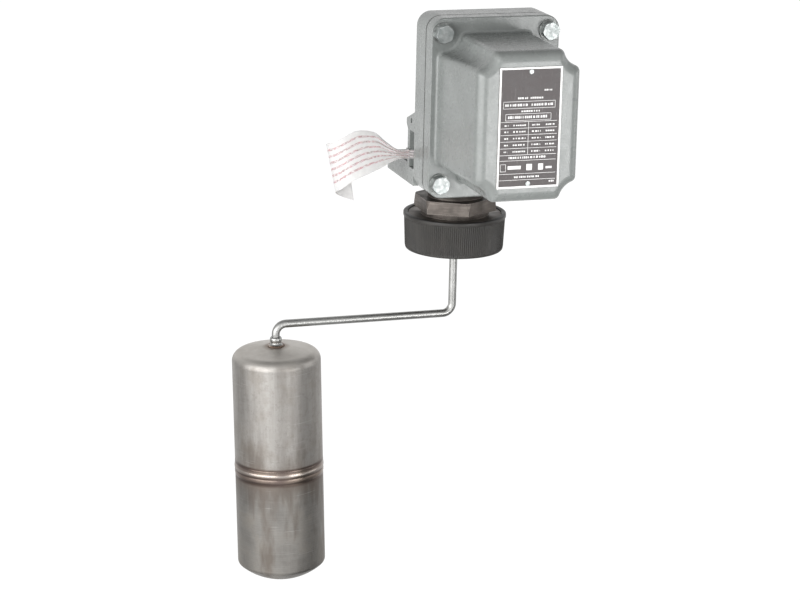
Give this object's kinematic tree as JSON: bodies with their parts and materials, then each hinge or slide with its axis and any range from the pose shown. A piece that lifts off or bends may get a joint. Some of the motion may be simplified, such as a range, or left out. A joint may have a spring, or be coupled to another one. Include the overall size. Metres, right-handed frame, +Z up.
{
  "type": "float level switch",
  "caption": "Float level switch with a screwed tank bushing, ball lever, bent rod, hollow float and a cast switch enclosure.",
  "frame": {"origin": "on the axis of the bushing, at the upper end of its pipe thread", "axes": "+Z up along the bushing's axis, the enclosure's cover faces -Y, the float arm reaches out along -X"},
  "size_m": [0.2474, 0.1866, 0.4593],
  "materials": {
    "enclosure_paint": "semi-gloss grey paint with a slight orange peel",
    "bushing_steel": "dark blackened steel, milled flats",
    "protector_plastic": "matt charcoal moulded plastic with fine ribs",
    "stainless": "bright drawn stainless steel",
    "float_steel": "brushed stainless steel with weld tint and stains",
    "plated_steel": "bright zinc plate",
    "gasket_rubber": "matt black rubber",
    "ptfe": "white PTFE",
    "brass": "machined brass",
    "phenolic": "dark moulded phenolic",
    "nameplate_metal": "dark printed aluminium foil plate",
    "tag_paper": "white card with faded red lines"
  },
  "bodies": {
    "housing": {"bushing": "bushing_steel", "lock_nut": "plated_steel", "lower_seat": "ptfe", "upper_seat": "ptfe", "gland_nut": "brass", "enclosure_base": "enclosure_paint", "cover_gasket": "gasket_rubber", "enclosure_cover": "enclosure_paint", "cover_bolts": "plated_steel", "bolt_washers": "plated_steel", "nameplate": "nameplate_metal", "nameplate_pins": "plated_steel", "shaft_bearing": "brass", "contact_block": "phenolic", "fixed_contacts": "brass", "terminal_screws": "plated_steel", "block_screws": "plated_steel", "ground_screw": "brass", "paper_tag": "tag_paper"},
    "lever": {"ball_lever": "stainless", "pivot_pin": "stainless", "lever_pin": "stainless", "rod_jam_nut": "stainless", "float_rod": "stainless", "float_boss": "stainless", "float_upper_cup": "float_steel", "float_lower_cup": "float_steel", "seam_bead": "float_steel"},
    "crank": {"switch_shaft": "stainless", "switch_crank": "plated_steel", "shaft_clip": "plated_steel", "inner_cam": "plated_steel"},
    "carrier": {"contact_carrier": "phenolic", "moving_contacts": "brass"},
    "protector": {"thread_protector": "protector_plastic"}
  },
  "joints": [
    {"name": "float_swing", "type": "hinge", "parent": "housing", "child": "lever", "pos_m": [0, 0, 0.004], "axis": [0, 1, 0], "range_deg": [0, 10]},
    {"name": "crank_turn", "type": "hinge", "parent": "housing", "child": "crank", "pos_m": [0, -0.024, 0.104], "axis": [0, 1, 0], "range_deg": [-22.8, 0]},
    {"name": "carrier_slide", "type": "slide", "parent": "housing", "child": "carrier", "axis": [1, 0, 0], "range_m": [0, 0.00543]},
    {"name": "protector_off", "type": "slide", "parent": "housing", "child": "protector", "axis": [0, 0, -1], "range_m": [0, 0.03]}
  ],
  "couplings": [
    {"joint": "crank_turn", "follows": "float_swing", "ratio": -2.28},
    {"joint": "carrier_slide", "follows": "float_swing", "m_per_rad": 0.03108}
  ]
}
